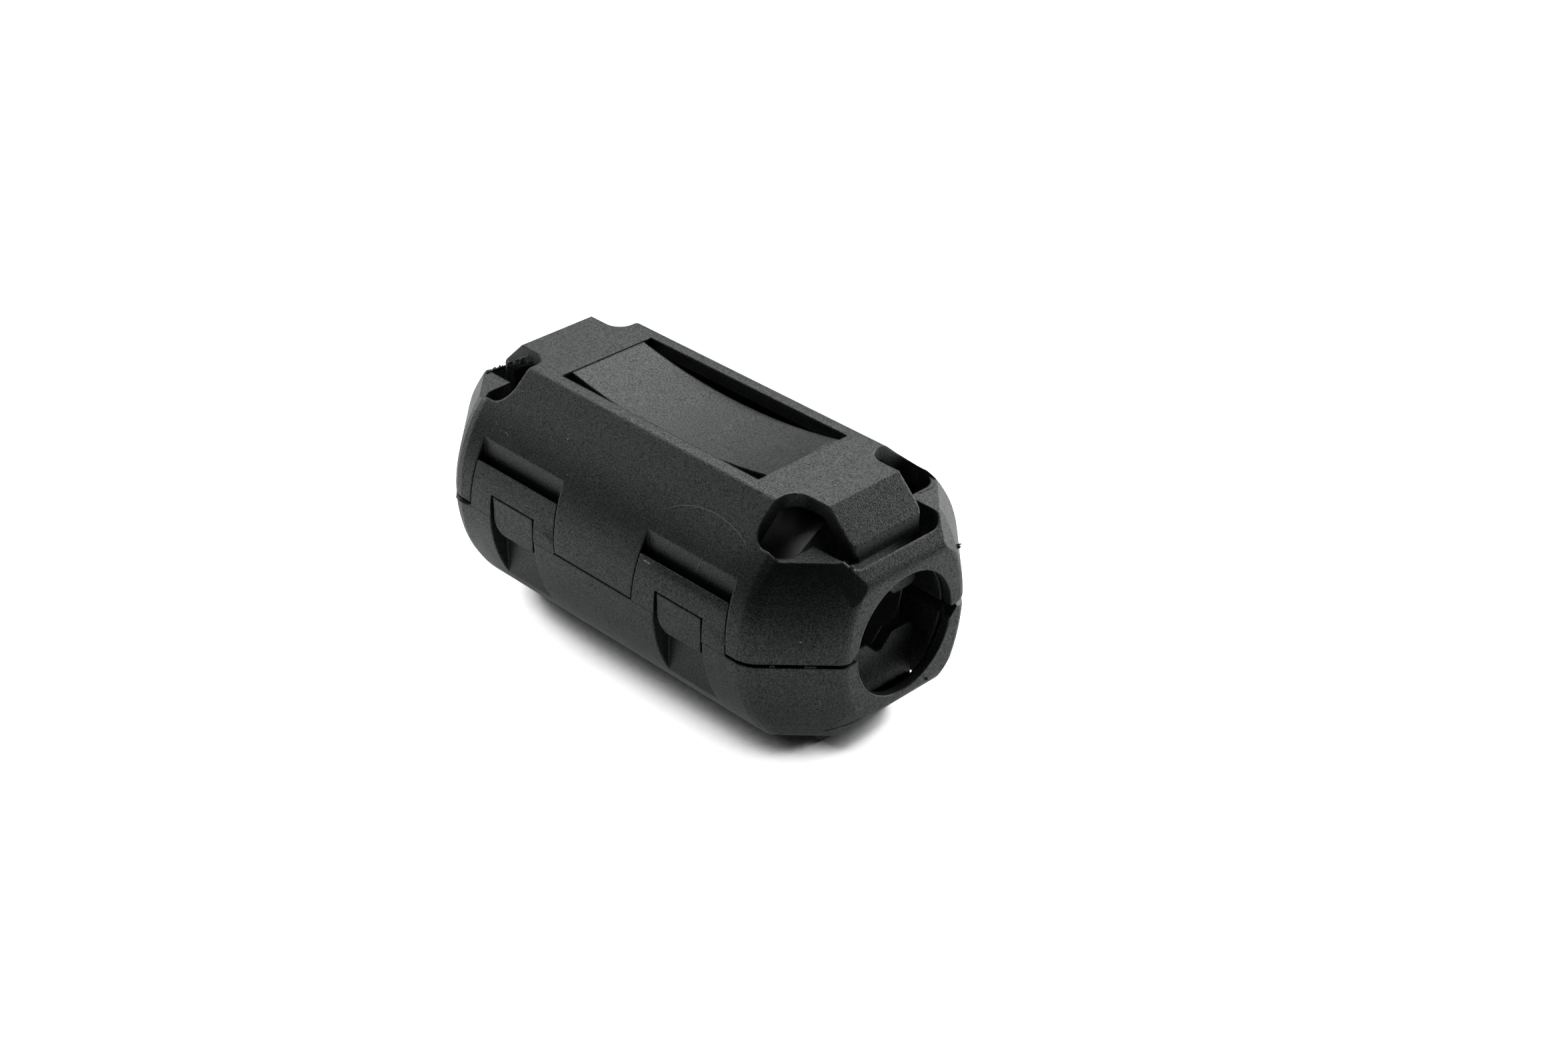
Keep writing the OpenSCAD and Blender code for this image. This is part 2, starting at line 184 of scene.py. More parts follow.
def light_world():
    world = bpy.data.worlds.new("world")
    bpy.context.scene.world = world
    world.use_nodes = True
    world.node_tree.nodes.clear()
    nodes = Nodes(world.node_tree)
    output = nodes.add("ShaderNodeOutputWorld")
    background = nodes.add("ShaderNodeBackground", {"Color": WHITE})
    path = nodes.add("ShaderNodeLightPath")
    nodes.link(path.outputs["Is Camera Ray"], background.inputs["Strength"])
    nodes.link(background.outputs["Background"], output.inputs["Surface"])


# ---------------------------------------------------------------- materials

class Nodes:
    """Short calls for building a node tree."""

    def __init__(self, tree):
        self.tree = tree

    def add(self, kind, inputs=(), **settings):
        node = self.tree.nodes.new(kind)
        for key, value in settings.items():
            setattr(node, key, value)
        for key, value in dict(inputs).items():
            node.inputs[key].default_value = value
        return node

    def link(self, output, input_socket):
        self.tree.links.new(output, input_socket)

    def math(self, operation, first, second):
        """A Math node whose inputs are sockets or numbers."""
        node = self.add("ShaderNodeMath", operation=operation)
        for i, item in enumerate((first, second)):
            if isinstance(item, (int, float)):
                node.inputs[i].default_value = item
            else:
                self.link(item, node.inputs[i])
        return node.outputs[0]

    def noise(self, coords, size_mm, detail=2, roughness=0.5, distortion=0):
        node = self.add("ShaderNodeTexNoise", {
            "Scale": 1 / (size_mm * MM), "Detail": detail,
            "Roughness": roughness, "Distortion": distortion,
        })
        self.link(coords, node.inputs["Vector"])
        return node.outputs["Fac"]

    def ranged(self, value, low, high, to_low, to_high, kind="LINEAR"):
        node = self.add("ShaderNodeMapRange", {
            "From Min": low, "From Max": high, "To Min": to_low, "To Max": to_high,
        }, interpolation_type=kind)
        self.link(value, node.inputs["Value"])
        return node.outputs["Result"]

    def vector(self, operation, first, second):
        """A Vector Math node: its second input is a vector, or a scale that may be a socket."""
        node = self.add("ShaderNodeVectorMath", operation=operation)
        self.link(first, node.inputs[0])
        if operation == "SCALE":
            self.link(second, node.inputs["Scale"])
            return node.outputs["Vector"]
        node.inputs[1].default_value = second
        return node.outputs["Value"]

    def bump(self, height, depth_mm, strength, normal=None):
        node = self.add("ShaderNodeBump", {"Strength": strength, "Distance": depth_mm * MM})
        self.link(height, node.inputs["Height"])
        if normal is not None:
            self.link(normal, node.inputs["Normal"])
        return node.outputs["Normal"]

    def colours(self, value, *stops):
        node = self.add("ShaderNodeValToRGB")
        ramp = node.color_ramp.elements
        while len(ramp) < len(stops):
            ramp.new(0.5)
        for element, (place, colour) in zip(ramp, stops):
            element.position = place
            element.color = (*colour, 1)
        self.link(value, node.inputs["Fac"])
        return node.outputs["Color"]


def new_material(name, ior=PLASTIC_IOR):
    material = bpy.data.materials.new(name)
    material.use_nodes = True
    material.node_tree.nodes.clear()
    nodes = Nodes(material.node_tree)
    output = nodes.add("ShaderNodeOutputMaterial")
    shader = nodes.add("ShaderNodeBsdfPrincipled", {"IOR": ior})
    nodes.link(shader.outputs["BSDF"], output.inputs["Surface"])
    place = nodes.add("ShaderNodeTexCoord").outputs["Object"]
    return material, nodes, shader, place


def black_plastic(name, rounding_mm, shade_patch_centre):
    """Black nylon with a fine spark-eroded grain, slightly uneven in sheen, with painted shade in hollows
    and on the near corner.
    """
    material, nodes, shader, place = new_material(name)
    bevel = nodes.add("ShaderNodeBevel", {"Radius": rounding_mm * MM}, samples=6)
    sink = nodes.noise(place, size_mm=3.2, detail=1)
    swell = nodes.noise(place, size_mm=0.3, detail=2, roughness=0.5, distortion=0.6)
    grain = nodes.noise(place, size_mm=0.088, detail=1.5, roughness=0.6)
    normal = nodes.bump(sink, depth_mm=0.05, strength=0.25, normal=bevel.outputs["Normal"])
    normal = nodes.bump(swell, depth_mm=0.02, strength=0.4, normal=normal)
    normal = nodes.bump(grain, depth_mm=0.017, strength=1, normal=normal)
    nodes.link(normal, shader.inputs["Normal"])
    cloud = nodes.noise(place, size_mm=1.6, detail=3, roughness=0.6)
    # Painted shade: base colour and specular level are darkened in hollows found by ambient occlusion
    hollow = nodes.add("ShaderNodeAmbientOcclusion", {"Distance": HOLLOW_SHADE_REACH * MM}, samples=4)
    hollow_shade = nodes.ranged(hollow.outputs["AO"], low=0.12, high=0.55, to_low=0.2, to_high=1)
    # Painted shade patch: base colour and specular level are dulled round a point on the near corner
    from_shade_patch = nodes.vector("DISTANCE", place, shade_patch_centre)
    painted_shade_patch = nodes.ranged(
        from_shade_patch, low=SHADE_PATCH_NEAR * MM, high=SHADE_PATCH_FAR * MM,
        to_low=SHADE_PATCH_SHARE, to_high=1, kind="SMOOTHSTEP",
    )
    painted_shade = nodes.math("MULTIPLY", hollow_shade, painted_shade_patch)
    tone = nodes.colours(
        cloud,
        (0.3, (0.0158, 0.0168, 0.0169)),
        (0.7, (0.0192, 0.0204, 0.0205)),
    )
    nodes.link(nodes.vector("SCALE", tone, painted_shade), shader.inputs["Base Color"])
    shader.inputs["Specular Tint"].default_value = PLASTIC_TINT
    glint = nodes.ranged(grain, low=0.3, high=0.7, to_low=0.1, to_high=0.9)
    nodes.link(nodes.math("MULTIPLY", glint, painted_shade), shader.inputs["Specular IOR Level"])
    streaks = nodes.noise(place, size_mm=0.55, detail=3, roughness=0.6)
    sheen = nodes.ranged(streaks, low=0.3, high=0.7, to_low=-0.03, to_high=0.03)
    patchy = nodes.ranged(cloud, low=0.3, high=0.7, to_low=0.38, to_high=0.43)
    nodes.link(nodes.math("ADD", sheen, patchy), shader.inputs["Roughness"])
    return material


def pale_plastic(name, colour, roughness):
    """Scuffs, flash, nubs, dust, and the painted highlight and painted shade of the leaf's crease: one
    mottled colour with a plain sheen.
    """
    material, nodes, shader, place = new_material(name)
    mottle = nodes.noise(place, size_mm=0.06, detail=3, roughness=0.6)
    darker = tuple(0.6 * c for c in colour)
    lighter = tuple(min(1.5 * c, 1) for c in colour)
    tone = nodes.colours(mottle, (0.35, darker), (0.65, lighter))
    nodes.link(tone, shader.inputs["Base Color"])
    nodes.link(nodes.bump(mottle, depth_mm=0.01, strength=0.5), shader.inputs["Normal"])
    shader.inputs["Roughness"].default_value = roughness
    return material


def ferrite_ceramic():
    """Sintered ferrite: dark grey, matt, with fine pits and lighter grains."""
    material, nodes, shader, place = new_material("ferrite_ceramic", FERRITE_IOR)
    bevel = nodes.add("ShaderNodeBevel", {"Radius": FERRITE_ROUNDING * MM}, samples=8)
    grain = nodes.noise(place, size_mm=0.07, detail=3, roughness=0.6)
    cloud = nodes.noise(place, size_mm=0.9, detail=4, roughness=0.6)
    pits = nodes.add("ShaderNodeTexVoronoi", {"Scale": 1 / (FERRITE_PIT_SIZE * MM)})
    nodes.link(place, pits.inputs["Vector"])
    hollow = nodes.ranged(pits.outputs["Distance"], low=0.04, high=0.2, to_low=0, to_high=1)
    normal = nodes.bump(hollow, depth_mm=0.02, strength=0.4, normal=bevel.outputs["Normal"])
    normal = nodes.bump(grain, depth_mm=0.015, strength=0.5, normal=normal)
    nodes.link(normal, shader.inputs["Normal"])
    fine = nodes.math("MULTIPLY", grain, 0.45)
    broad = nodes.math("MULTIPLY", cloud, 0.55)
    tone = nodes.colours(
        nodes.math("ADD", fine, broad),
        (0.35, (0.05, 0.0495, 0.05)),
        (0.52, (0.075, 0.0745, 0.075)),
        (0.68, (0.11, 0.109, 0.1085)),
    )
    nodes.link(tone, shader.inputs["Base Color"])
    roughness = nodes.ranged(cloud, low=0.3, high=0.7, to_low=0.34, to_high=0.46)
    nodes.link(roughness, shader.inputs["Roughness"])
    return material


def floor_white(name):
    """A pale diffuse floor that the camera sees as white and that glossy surfaces see as dimmer."""
    material, nodes, shader, _ = new_material(name)
    shader.inputs["Base Color"].default_value = FLOOR_COLOUR
    shader.inputs["Roughness"].default_value = FLOOR_ROUGHNESS
    shader.inputs["Specular IOR Level"].default_value = 0.0
    shader.inputs["Emission Color"].default_value = WHITE
    path = nodes.add("ShaderNodeLightPath")
    mirrored = nodes.math("MAXIMUM", path.outputs["Is Glossy Ray"], path.outputs["Is Transmission Ray"])
    mirrored = nodes.math("MULTIPLY", mirrored, FLOOR_GLOSSY_GLOW)
    return material, nodes, shader, path, mirrored


def open_floor():
    material, nodes, shader, path, mirrored = floor_white("open_floor")
    glow = nodes.math("ADD", path.outputs["Is Camera Ray"], mirrored)
    nodes.link(glow, shader.inputs["Emission Strength"])
    return material


def shaded_floor():
    """The floor round the case: a painted shadow, its white dimmed where the case would shut off the
    light from behind.
    """
    material, nodes, shader, path, mirrored = floor_white("shaded_floor")
    nodes.link(mirrored, shader.inputs["Emission Strength"])
    # Painted shadow: ambient occlusion tilted towards the lamps behind dims the white glow that the
    # camera sees
    shadow_occlusion = nodes.add(
        "ShaderNodeAmbientOcclusion", {"Distance": PAINTED_SHADOW_REACH * MM}, samples=PAINTED_SHADOW_SAMPLES)
    towards_light = (away_from_camera() * PAINTED_SHADOW_TILT + Vector((0, 0, 1))).normalized()
    tilt = nodes.add("ShaderNodeCombineXYZ", dict(zip("XYZ", towards_light)))
    nodes.link(tilt.outputs["Vector"], shadow_occlusion.inputs["Normal"])
    white = nodes.add("ShaderNodeEmission")
    clear = nodes.ranged(
        shadow_occlusion.outputs["AO"], low=PAINTED_SHADOW_DARK, high=PAINTED_SHADOW_LIGHT,
        to_low=0, to_high=1, kind="SMOOTHSTEP",
    )
    nodes.link(clear, white.inputs["Strength"])
    seen = nodes.add("ShaderNodeAddShader")
    nodes.link(shader.outputs["BSDF"], seen.inputs[0])
    nodes.link(white.outputs["Emission"], seen.inputs[1])
    mix = nodes.add("ShaderNodeMixShader")
    nodes.link(path.outputs["Is Camera Ray"], mix.inputs["Fac"])
    nodes.link(shader.outputs["BSDF"], mix.inputs[1])
    nodes.link(seen.outputs["Shader"], mix.inputs[2])
    output = next(node for node in nodes.tree.nodes if node.type == "OUTPUT_MATERIAL")
    nodes.link(mix.outputs["Shader"], output.inputs["Surface"])
    return material


def add_floor():
    """A grid of three by three faces, of which only the middle one carries the painted shadow."""
    steps = (-FLOOR_HALF, -FLOOR_SHADED_HALF, FLOOR_SHADED_HALF, FLOOR_HALF)
    corners = [(x, y, 0) for y in steps for x in steps]
    wide = len(steps)
    firsts = [row * wide + column for row in range(wide - 1) for column in range(wide - 1)]
    faces = [(k, k + 1, k + wide + 1, k + wide) for k in firsts]
    mesh = bpy.data.meshes.new("floor")
    mesh.from_pydata(corners, [], faces)
    mesh.materials.append(open_floor())
    mesh.materials.append(shaded_floor())
    mesh.polygons[len(faces) // 2].material_index = 1
    floor = bpy.data.objects.new("floor", mesh)
    bpy.context.scene.collection.objects.link(floor)


def dress(piece, material):
    piece.data.materials.clear()
    piece.data.materials.append(material)


# ---------------------------------------------------------------- bending parts

def bending_copy(node, material, start, end, cuts):
    """The node's own form, cut across into short steps."""
    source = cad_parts[node]
    work = bmesh.new()
    work.from_mesh(source.data)
    bmesh.ops.remove_doubles(work, verts=work.verts, dist=MERGE_DISTANCE)
    for i in range(1, cuts):
        level = start.lerp(end, i / cuts)
        bmesh.ops.bisect_plane(
            work, geom=work.verts[:] + work.edges[:] + work.faces[:], dist=CUT_DISTANCE,
            plane_co=level, plane_no=(end - start).normalized(),
        )
    mesh = bpy.data.meshes.new(node + "_bending")
    work.to_mesh(mesh)
    work.free()
    piece = bpy.data.objects.new(node + "_bending", mesh)
    bpy.context.scene.collection.objects.link(piece)
    dress(piece, material)
    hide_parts(node)
    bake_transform(piece)


# ---------------------------------------------------------------- moulding marks

def tree_of(node):
    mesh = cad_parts[node].data
    return BVHTree.FromPolygons([v.co for v in mesh.vertices], [tuple(p.vertices) for p in mesh.polygons])


TREES = {node: tree_of(node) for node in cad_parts}


def seen_at(x, y):
    """Where the camera's ray through a pixel of the photograph meets the case, and its normal."""
    ray = (LOOK * FOCAL_PX + RIGHT * (x - PHOTO_WIDTH / 2) - UP * (y - PHOTO_HEIGHT / 2)).normalized()
    hits = [tree.ray_cast(EYE, ray) for tree in TREES.values()]
    spot, normal, _, _ = min((hit for hit in hits if hit[0]), key=lambda hit: hit[3])
    return spot, normal


def smooth_path(points, steps):
    """Catmull-Rom curve through points of any dimension."""
    points = [Vector(p) for p in points]
    ends = [2 * points[0] - points[1]] + points + [2 * points[-1] - points[-2]]
    path = []
    for i in range(1, len(ends) - 2):
        a, b, c, d = ends[i - 1:i + 3]
        for k in range(steps):
            t = k / steps
            path.append(0.5 * (2 * b + (c - a) * t + (2 * a - 5 * b + 4 * c - d) * t ** 2
                               + (3 * b - a - 3 * c + d) * t ** 3))
    return path + [points[-1]]


def add_piece(name, work, material, body):
    """Turns the work into a smooth piece that rides on a body."""
    bmesh.ops.recalc_face_normals(work, faces=work.faces)
    mesh = bpy.data.meshes.new(name)
    work.to_mesh(mesh)
    work.free()
    for face in mesh.polygons:
        face.use_smooth = True
    piece = bpy.data.objects.new(name, mesh)
    bpy.context.scene.collection.objects.link(piece)
    dress(piece, material)
    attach(piece, body)
    return piece


def skin_rings(work, rings):
    """Joins rings of vertices into a closed solid."""
    for a, b in zip(rings, rings[1:]):
        for i in range(len(a)):
            j = (i + 1) % len(a)
            work.faces.new((a[i], a[j], b[j], b[i]))
    work.faces.new(rings[0][::-1])
    work.faces.new(rings[-1])


def add_ridge(work, spots, width_mm, height_mm, seed=0, uneven=0.3, sink_mm=0.02):
    """A thin raised line over points with normals, uneven in height and tapered at its ends."""
    dice = random.Random(seed)
    rings = []
    for i, (spot, normal) in enumerate(spots):
        ahead = spots[min(i + 1, len(spots) - 1)][0] - spots[max(i - 1, 0)][0]
        side = ahead.cross(normal).normalized()
        along = i / (len(spots) - 1)
        taper = 0.15 + 0.85 * min(1, 6 * along, 6 * (1 - along))
        size = taper * dice.uniform(1 - uneven, 1 + uneven) * MM
        rings.append([work.verts.new(p) for p in (
            spot + side * width_mm / 2 * size - normal * sink_mm * MM,
            spot + side * width_mm / 4 * size + normal * height_mm * size,
            spot - side * width_mm / 4 * size + normal * height_mm * size,
            spot - side * width_mm / 2 * size - normal * sink_mm * MM,
        )])
    skin_rings(work, rings)


# A direction that no strand runs along
OFF_AXIS = Vector((0.31, 0.17, 0.93))


def add_thread(work, path, radius_mm, sides=6):
    """A thin round strand with narrower ends."""
    rings = []
    for i, spot in enumerate(path):
        ahead = (path[min(i + 1, len(path) - 1)] - path[max(i - 1, 0)]).normalized()
        side = ahead.cross(OFF_AXIS).normalized()
        other = ahead.cross(side)
        thin = 1 if 0 < i < len(path) - 1 else 0.4
        rings.append([
            work.verts.new(spot + (side * math.cos(a) + other * math.sin(a)) * radius_mm * thin * MM)
            for a in (2 * math.pi * k / sides for k in range(sides))
        ])
    skin_rings(work, rings)


def add_crumb(work, spot, normal, size_mm, seed, lift=0.3):
    """A small uneven lump that is part sunk in the surface."""
    dice = random.Random(seed)
    start = len(work.verts)
    bmesh.ops.create_icosphere(work, subdivisions=2, radius=1)
    work.verts.ensure_lookup_table()
    turn = normal.to_track_quat("Z", "Y").to_matrix() @ Matrix.Rotation(dice.uniform(0, math.pi), 3, "Z")
    for vert in work.verts[start:]:
        shape = vert.co * dice.uniform(0.8, 1.15)
        local = Vector((shape.x * size_mm[0], shape.y * size_mm[1], (shape.z + lift) * size_mm[2]))
        vert.co = spot + turn @ local * MM


# How far a scar's rim lies below the surface, and its back
SCAR_SINK = 0.03
SCAR_DEPTH = 0.09


def add_rough_patch(work, corners, columns, rows, height_mm, seed):
    """An uneven scar over a flat four-cornered patch, sunk at its edges."""
    a, b, c, d = (Vector(corner) * MM for corner in corners)
    normal = (b - a).cross(d - a).normalized()
    shift = Vector((seed, 1.7 * seed, 0))
    front, back = [], []
    for j in range(rows + 1):
        for i in range(columns + 1):
            u, v = i / columns, j / rows
            spot = a.lerp(b, u).lerp(d.lerp(c, u), v)
            rim = min(1, 5 * u, 5 * (1 - u), 4 * v, 4 * (1 - v))
            rough = noise.fractal(Vector((9 * u, 4 * v, 0)) + shift, 0.7, 2.1, 4) + 0.45
            height = rim * max(rough, 0.05) * height_mm - SCAR_SINK
            front.append(work.verts.new(spot + normal * height * MM))
            back.append(work.verts.new(spot - normal * SCAR_DEPTH * MM))
    wide = columns + 1
    edge = (
        list(range(columns))
        + [columns + wide * j for j in range(rows)]
        + [wide * rows + columns - i for i in range(columns)]
        + [wide * (rows - j) for j in range(rows)]
    )
    for j in range(rows):
        for i in range(columns):
            k = j * wide + i
            work.faces.new([front[m] for m in (k, k + 1, k + 1 + wide, k + wide)])
            work.faces.new([back[m] for m in (k + wide, k + 1 + wide, k + 1, k)])
    for k, m in zip(edge, edge[1:] + edge[:1]):
        work.faces.new((front[k], back[k], back[m], front[m]))


# Marks placed by pixels of the photograph, on whatever they land on
SCRATCHES = [
    ([(990.6, 764.8), (1017, 759), (1042, 759.6), (1072, 770),
      (1099, 790.6), (1114, 809), (1122.3, 826.8)], 0.045, 0.008),
    ([(1264, 683), (1257, 690), (1248, 700)], 0.06, 0.012),
    ([(1248, 668), (1251, 671), (1254, 675)], 0.05, 0.01),
    ([(743, 632), (746, 636), (748, 640)], 0.035, 0.008),
    ([(737, 643), (740, 648)], 0.04, 0.008),
    ([(758, 648), (761, 652), (763, 655)], 0.045, 0.012),
    ([(750, 645), (753, 648)], 0.035, 0.008),
    ([(731, 647), (728, 651), (724, 655)], 0.035, 0.008),
]
SCRATCH_SINK = 0.004
# A thin ridge along the leaf's crease, coloured near black as painted shade
LEAF_CREASE = [
    (1244, 661), (1234, 667), (1222, 674), (1206, 683), (1188, 692), (1172, 700), (1161, 706)]
LEAF_CREASE_FORM = dict(width_mm=0.055, height_mm=0.01, seed=73, uneven=0.3, sink_mm=0.006)
# Flash along the crease: a thin real ridge, coloured pale as a painted highlight
CREASE_FLASH_AND_HIGHLIGHT = [(1246, 662), (1238, 667), (1226, 674), (1215, 680)]
CREASE_FLASH_AND_HIGHLIGHT_FORM = dict(width_mm=0.035, height_mm=0.012, seed=72, uneven=0.8, sink_mm=0.006)
END_RIDGE = [(1376, 741.5), (1386, 737), (1396, 732), (1404, 728.5)]
END_RIDGE_FORM = dict(width_mm=0.06, height_mm=0.04, seed=71, uneven=0.4)
CORNER_LUMPS = [(1268, 843, 0.13), (1273, 846, 0.17), (1278, 852, 0.15)]
CORNER_LUMP_SEED = 60
CORNER_LUMP_LIFT = 0.1
FLECKS = {
    "upper_case": [
        (1201, 963, 0.07), (852, 659, 0.07), (851, 713, 0.04), (783.5, 587.5, 0.05),
        (1029, 564, 0.07), (1135, 583, 0.06), (1205, 610, 0.05), (1149, 690, 0.03),
        (745, 690, 0.035), (765, 700, 0.03), (940, 640, 0.03),
    ],
    "lower_case": [
        (1207, 1042, 0.045), (1171, 1051, 0.04), (800, 862, 0.03), (1100, 1040, 0.03),
    ],
}
TAB_SCUFF = [(965, 840), (970, 843), (976, 847)]
TAB_SCUFF_FORM = dict(width_mm=0.09, height_mm=0.012, seed=51, uneven=0.5, sink_mm=0.006)
LINT = [
    [(1054.3, 838.6), (1050.7, 845.7), (1046.8, 852.9), (1043.6, 855.7)],
    [(1068.9, 857.5), (1065, 866.4), (1061.4, 876.4)],
]
LINT_RADIUS = 0.011
LINT_LIFT = 0.008
LINT_ARCH = 0.03
OVAL_MARK = (1225.6, 1058)
OVAL_MARK_SIZE = (0.17, 0.4)
OVAL_MARK_STEPS = 24
OVAL_MARK_FORM = dict(width_mm=0.06, height_mm=0.025, seed=41, uneven=0.3, sink_mm=0.01)
BOTTOM_FLASH = [
    (1228, 1097), (1240, 1097), (1252, 1094), (1264, 1090), (1276, 1086), (1290, 1079), (1300, 1073)]
BOTTOM_FLASH_FORM = dict(width_mm=0.07, height_mm=0.035, seed=22, uneven=0.6)

# Marks placed in millimetres, on edges that the camera only grazes. The opening's
# flash is given by its radius and the turns from straight down at which it starts
# and ends
OPENING_FLASH = (3.53, 86, 2)
OPENING_FLASH_STEPS = 24
OPENING_FLASH_FORM = dict(width_mm=0.07, height_mm=0.03, seed=21, uneven=0.5)
PARTING_FILMS = [
    [(13.56, -5.85, 7.2), (13.7, -5.7, 7.2), (13.84, -5.57, 7.2), (13.98, -5.43, 7.2)],
    [(12.33, -7.08, 7.2), (12.42, -6.98, 7.2), (12.52, -6.89, 7.2)],
]
FILM_INWARD = Vector((-0.707, 0.707, 0))
FILM_OUTER = FILM_INWARD * 0.02
FILM_INNER = FILM_INWARD * 0.09
FILM_FOOT = Vector((0, 0, 0.14))
FILM_LIFT = (0.05, 0.085)
FILM_SEED = 31
END_NUB = (14.5, 4.42, 10.25)
END_NUB_TIP = Vector((0, 0, 0.16 * MM))
LOW_NUB = (15, 1.85, 3.48)
GATE_SCAR = [
    (-13.25, -2.56, 12.35), (-10.8, -2.56, 13.55), (-10.8, -2.56, 14.35), (-13.35, -2.56, 12.75)]
GATE_SCAR_FORM = dict(columns=36, rows=10, height_mm=0.22, seed=3)
GATE_FIN = [
    (-13.42, -3.9, 12.42), (-13.42, -3.4, 12.42), (-13.4, -2.95, 12.42), (-13.3, -2.6, 12.45)]
GATE_FIN_NORMAL = Vector((-0.45, 0.1, 0.88))
GATE_FIN_FORM = dict(width_mm=0.12, height_mm=0.17, seed=11, uneven=0.45, sink_mm=0.05)
FAR_LIP = [(-11.9, -7.3), (-11.3, -7.72), (-10.8, -7.93), (-10.3, -7.99)]
FAR_LIP_Z = 7.04
FAR_LIP_CENTRE_X = -9.5
FAR_LIP_FORM = dict(width_mm=0.1, height_mm=0.12, seed=9, uneven=0.3, sink_mm=0.05)
RAY_START = 3


def spots_on(pixels, steps=8):
    """Points and normals on the case under a smooth path of pixels."""
    return [seen_at(*p) for p in smooth_path(pixels, steps)]


def nearest_on(node, point_mm):
    """The nearest point of a node's surface, and its normal."""
    spot, normal, _, _ = TREES[node].find_nearest(Vector(point_mm) * MM)
    return spot, normal


def mark_upper_case(plastic, scuff_and_highlight, dust, crease_shade, nub):
    work = bmesh.new()
    for seed, (pixels, width, height) in enumerate(SCRATCHES):
        add_ridge(work, spots_on(pixels), width, height, seed, sink_mm=SCRATCH_SINK)
    add_piece("scratches", work, scuff_and_highlight, "upper_case")

    work = bmesh.new()
    for path in LINT:
        spots = spots_on(path)
        last = len(spots) - 1
        strand = []
        for k, (spot, normal) in enumerate(spots):
            rise = LINT_LIFT + LINT_ARCH * math.sin(math.pi * k / last)
            strand.append(spot + normal * rise * MM)
        add_thread(work, strand, LINT_RADIUS)
    add_piece("lint", work, dust, "upper_case")

    work = bmesh.new()
    for seed, (x, y, size) in enumerate(CORNER_LUMPS, CORNER_LUMP_SEED):
        spot, normal = seen_at(x, y)
        add_crumb(work, spot, normal, (size, 0.8 * size, size), seed, CORNER_LUMP_LIFT)
    add_piece("corner_lumps", work, nub, "upper_case")

    # Flash ridges; the pale colour of the crease flash is a painted highlight
    work = bmesh.new()
    add_ridge(work, spots_on(END_RIDGE), **END_RIDGE_FORM)
    add_ridge(work, spots_on(CREASE_FLASH_AND_HIGHLIGHT, 6), **CREASE_FLASH_AND_HIGHLIGHT_FORM)
    add_piece("crease_flash", work, scuff_and_highlight, "upper_case")

    # The leaf's crease, coloured near black as painted shade
    work = bmesh.new()
    add_ridge(work, spots_on(LEAF_CREASE), **LEAF_CREASE_FORM)
    add_piece("leaf_crease", work, crease_shade, "upper_case")

    work = bmesh.new()
    spot, normal = nearest_on("upper_shell", END_NUB)
    add_crumb(work, spot, normal, size_mm=(0.1, 0.08, 0.15), seed=5)
    add_crumb(work, spot + END_NUB_TIP, normal, size_mm=(0.05, 0.05, 0.17), seed=6)
    add_piece("end_nub", work, plastic, "upper_case")

    work = bmesh.new()
    add_rough_patch(work, GATE_SCAR, **GATE_SCAR_FORM)
    fin = smooth_path([Vector(p) * MM for p in GATE_FIN], 6)
    add_ridge(work, [(p, GATE_FIN_NORMAL) for p in fin], **GATE_FIN_FORM)
    add_piece("gate_scar", work, plastic, "upper_case")


def opening_flash_spots():
    """Points along the lower shell's opening, on the end face, with its normal."""
    radius, start, end = OPENING_FLASH
    face_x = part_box("lower_shell")[1].x
    spots = []
    for k in range(OPENING_FLASH_STEPS + 1):
        turn = math.radians(start + (end - start) * k / OPENING_FLASH_STEPS)
        place = Vector((0, -radius * math.sin(turn), -radius * math.cos(turn))) * MM
        spots.append((Vector((face_x, place.y, PARTING_Z + place.z)), Vector((1, 0, 0))))
    return spots


def add_parting_films(work):
    """Thin upright films left between the rims, uneven in height."""
    dice = random.Random(FILM_SEED)
    for points in PARTING_FILMS:
        rings = []
        for spot in smooth_path([Vector(p) * MM for p in points], 5):
            lift = Vector((0, 0, dice.uniform(*FILM_LIFT)))
            corners = (
                FILM_OUTER - FILM_FOOT, FILM_OUTER + lift,
                FILM_INNER + lift, FILM_INNER - FILM_FOOT,
            )
            rings.append([work.verts.new(spot + corner * MM) for corner in corners])
        skin_rings(work, rings)


def far_lip_spots():
    """Points under the far end's rim, found from outside the lower shell."""
    spots = []
    for x, y in FAR_LIP:
        outward = Vector((x - FAR_LIP_CENTRE_X, y, 0)).normalized()
        start = Vector((x, y, FAR_LIP_Z)) * MM + outward * RAY_START * MM
        spot, _, _, _ = TREES["lower_shell"].ray_cast(start, -outward)
        spots.append((spot, outward))
    return spots


